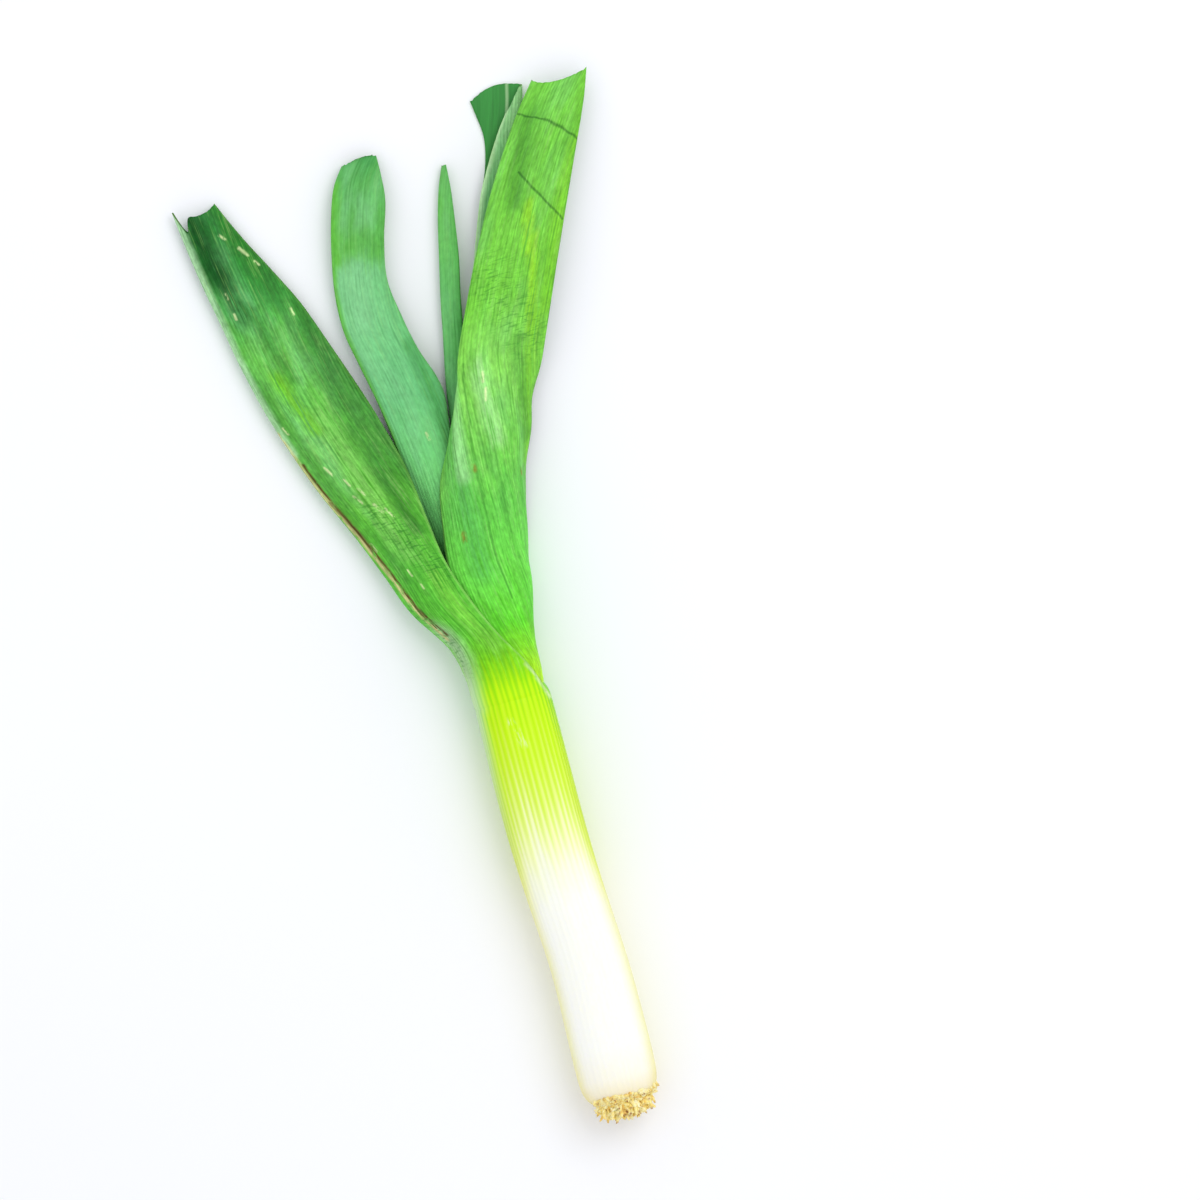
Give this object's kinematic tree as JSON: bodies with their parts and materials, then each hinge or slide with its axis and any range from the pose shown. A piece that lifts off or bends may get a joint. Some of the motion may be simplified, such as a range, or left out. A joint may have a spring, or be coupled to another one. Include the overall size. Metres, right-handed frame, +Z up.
{
  "type": "leek",
  "caption": "Trimmed leek lying on its side: white shank with root stubs, and long folded leaves spread in a flat fan.",
  "frame": {"origin": "on the surface that the leek lies on, under the middle line of the shank, 100 mm from the root plate towards the leaves; this is the point of the mount rest_flat", "axes": "+Y runs along the shank from the roots to the leaf tips, +Z is up from the surface, +X is to the right when the leek is seen from above with its leaves pointing away"},
  "size_m": [0.1971, 0.4646, 0.0349],
  "materials": {
    "sheath_white": "moist satin plant skin, white at the root end and lime green at the neck",
    "root_fibre": "dry matt root fibre",
    "blade_mid_green": "waxy satin leaf, mid green",
    "blade_light_green": "waxy satin leaf, light yellow green",
    "blade_blue_green": "waxy satin leaf with a blue bloom",
    "blade_dark_green": "satin inner leaf face, dark green",
    "blade_pale_green": "waxy satin young leaf, pale green"
  },
  "bodies": {
    "root": {"shank": "sheath_white", "root_tuft": "root_fibre", "leaf_1": "blade_mid_green", "leaf_2": "blade_light_green", "leaf_3": "blade_blue_green", "leaf_4": "blade_dark_green", "leaf_5": "blade_pale_green"}
  },
  "joints": []
}
